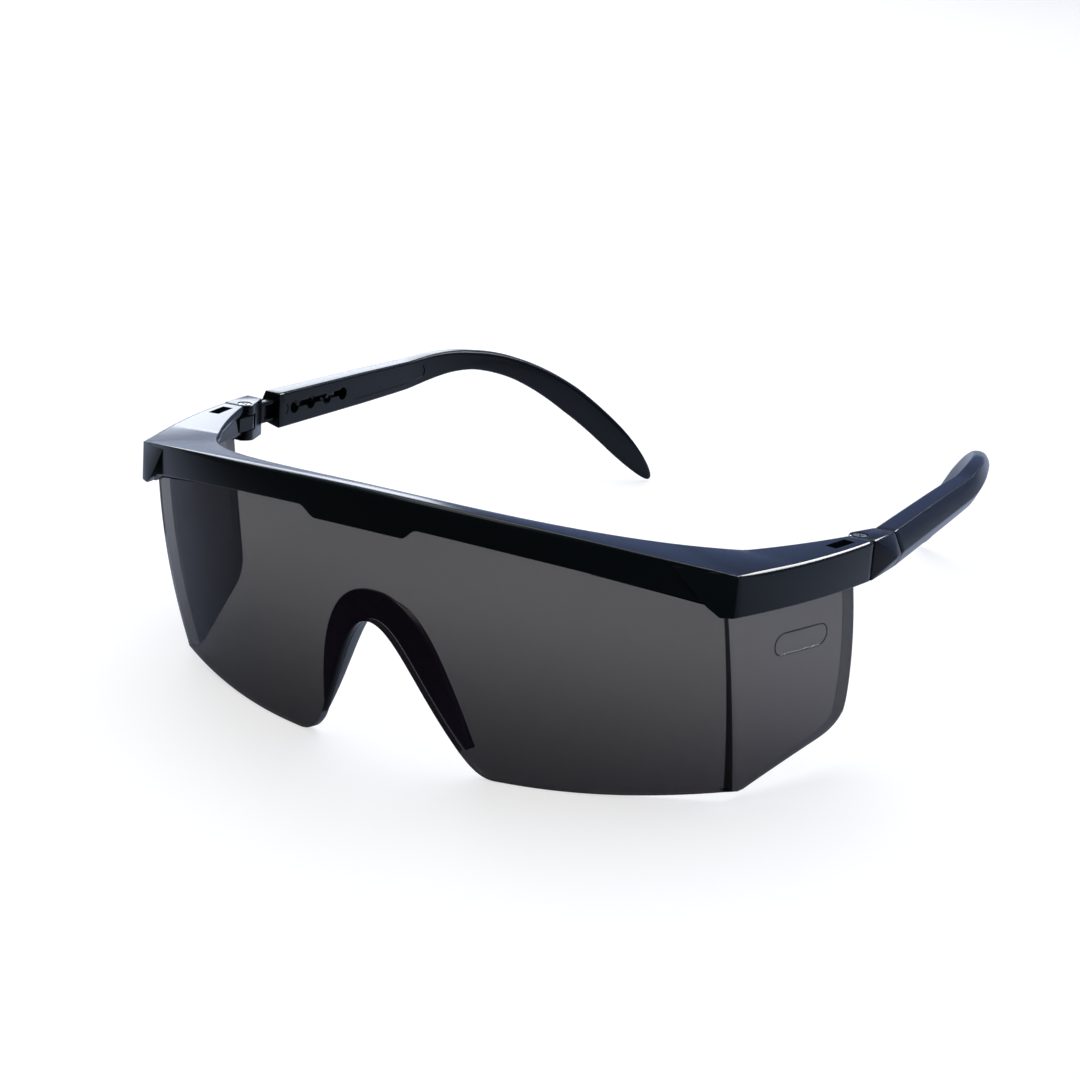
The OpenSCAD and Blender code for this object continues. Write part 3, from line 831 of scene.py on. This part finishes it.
def build_floor():
    """A plain white floor, mirrored in the object as dark in front and pale behind."""
    mesh = bpy.data.meshes.new("floor")
    half = 3.0
    corners = [(-half, -half, 0), (half, -half, 0), (half, half, 0), (-half, half, 0)]
    mesh.from_pydata(corners, [], [(0, 1, 2, 3)])
    floor = bpy.data.objects.new("floor", mesh)
    bpy.context.collection.objects.link(floor)
    material = bpy.data.materials.new("pale_floor")
    material.use_nodes = True
    nodes, links = material.node_tree.nodes, material.node_tree.links
    shader = nodes["Principled BSDF"]
    shader.inputs["Base Color"].default_value = (0.46, 0.46, 0.46, 1)
    shader.inputs["Roughness"].default_value = 0.9
    shader.inputs["Specular IOR Level"].default_value = 0.0
    shader.inputs["Emission Color"].default_value = (1, 1, 1, 1)
    shader.inputs["Emission Strength"].default_value = 0.66
    where = nodes.new("ShaderNodeTexCoord")
    split = nodes.new("ShaderNodeSeparateXYZ")
    links.new(where.outputs["Object"], split.inputs["Vector"])
    ramp = nodes.new("ShaderNodeMapRange")
    ramp.interpolation_type = "SMOOTHSTEP"
    ramp.inputs["From Min"].default_value = -0.13
    ramp.inputs["From Max"].default_value = 0.02
    links.new(split.outputs["Y"], ramp.inputs["Value"])
    tint = nodes.new("ShaderNodeMix")
    tint.data_type = "RGBA"
    tint.inputs["A"].default_value = (0.06, 0.07, 0.075, 1)
    tint.inputs["B"].default_value = (0.58, 0.65, 0.80, 1)
    links.new(ramp.outputs["Result"], tint.inputs["Factor"])
    table = nodes.new("ShaderNodeBsdfDiffuse")
    links.new(tint.outputs["Result"], table.inputs["Color"])
    path = nodes.new("ShaderNodeLightPath")
    mix = nodes.new("ShaderNodeMixShader")
    links.new(path.outputs["Is Camera Ray"], mix.inputs["Fac"])
    links.new(table.outputs["BSDF"], mix.inputs[1])
    links.new(shader.outputs["BSDF"], mix.inputs[2])
    links.new(mix.outputs["Shader"], nodes["Material Output"].inputs["Surface"])
    mesh.materials.append(material)


def build_world():
    """Even white to the camera, with a darker, bluer surround for the reflections."""
    world = bpy.data.worlds.new("studio")
    bpy.context.scene.world = world
    world.use_nodes = True
    nodes, links = world.node_tree.nodes, world.node_tree.links
    nodes.clear()
    where = nodes.new("ShaderNodeTexCoord")
    split = nodes.new("ShaderNodeSeparateXYZ")
    links.new(where.outputs["Generated"], split.inputs["Vector"])
    ramp = nodes.new("ShaderNodeMapRange")
    ramp.interpolation_type = "SMOOTHSTEP"
    ramp.inputs["From Min"].default_value = -0.2
    ramp.inputs["From Max"].default_value = 0.9
    links.new(split.outputs["Y"], ramp.inputs["Value"])
    tint = nodes.new("ShaderNodeMix")
    tint.data_type = "RGBA"
    tint.inputs["A"].default_value = (0.05, 0.055, 0.07, 1)
    tint.inputs["B"].default_value = (0.17, 0.235, 0.47, 1)
    links.new(ramp.outputs["Result"], tint.inputs["Factor"])
    surround = nodes.new("ShaderNodeBackground")
    links.new(tint.outputs["Result"], surround.inputs["Color"])
    backdrop = nodes.new("ShaderNodeBackground")
    backdrop.inputs["Color"].default_value = (1, 1, 1, 1)
    path = nodes.new("ShaderNodeLightPath")
    mix = nodes.new("ShaderNodeMixShader")
    links.new(path.outputs["Is Camera Ray"], mix.inputs["Fac"])
    links.new(surround.outputs["Background"], mix.inputs[1])
    links.new(backdrop.outputs["Background"], mix.inputs[2])
    out = nodes.new("ShaderNodeOutputWorld")
    links.new(mix.outputs["Shader"], out.inputs["Surface"])


def softbox(name, spot, aim, size, power, colour=(1, 1, 1), mirrored_only=False):
    """A rectangular lamp at spot that points at aim, seen in reflections only if mirrored_only."""
    light = bpy.data.lights.new(name, "AREA")
    light.shape = "RECTANGLE"
    light.size, light.size_y = size
    light.energy = power
    light.color = colour
    lamp = bpy.data.objects.new(name, light)
    lamp.visible_diffuse = not mirrored_only
    lamp.location = spot
    lamp.rotation_euler = (Vector(aim) - Vector(spot)).to_track_quat("-Z", "Y").to_euler()
    bpy.context.collection.objects.link(lamp)


def build_camera():
    """The camera, at the angle and distance that the spectacles are seen from."""
    spot = stand((232.04, -371.99, 171.68))
    aim = stand((1.66, 40, 34.23))
    data = bpy.data.cameras.new("camera")
    data.lens, data.sensor_width = 82.23, 36
    data.clip_start, data.clip_end = 0.01, 20
    camera = bpy.data.objects.new("camera", data)
    turn = (aim - spot).to_track_quat("-Z", "Y").to_matrix()
    roll = Matrix.Rotation(math.radians(1.82), 3, "Z")
    camera.matrix_world = Matrix.Translation(spot) @ (turn @ roll).to_4x4()
    bpy.context.collection.objects.link(camera)
    bpy.context.scene.camera = camera


build_camera()
build_floor()
build_world()
softbox("top", (-0.1, 0.1, 0.9), (0, 0, 0), (1.2, 1.2), 9)
softbox("back_left", (-0.80, 0.80, 0.36), (0, 0, 0.03), (0.6, 0.5), 3.8, (0.90, 0.95, 1))
softbox("front_right", (0.9, -0.7, 0.8), (0, 0, 0.03), (0.5, 0.5), 2.5)
softbox("left_strip", (-0.85, 0.32, 0.58), (0, 0, 0.05), (0.16, 0.4), 12, mirrored_only=True)
softbox("right_strip", (0.45, 0.85, 0.75), (0.07, 0, 0.05), (0.9, 0.5), 32, mirrored_only=True)
build_frame()
build_lens()
build_nose()
for side, word, clicks in ((1, "left", LEFT_CLICKS), (-1, "right", RIGHT_CLICKS)):
    build_hinge(side, word)
    build_ear(side, word, clicks)
bpy.context.scene.view_settings.view_transform = "Standard"
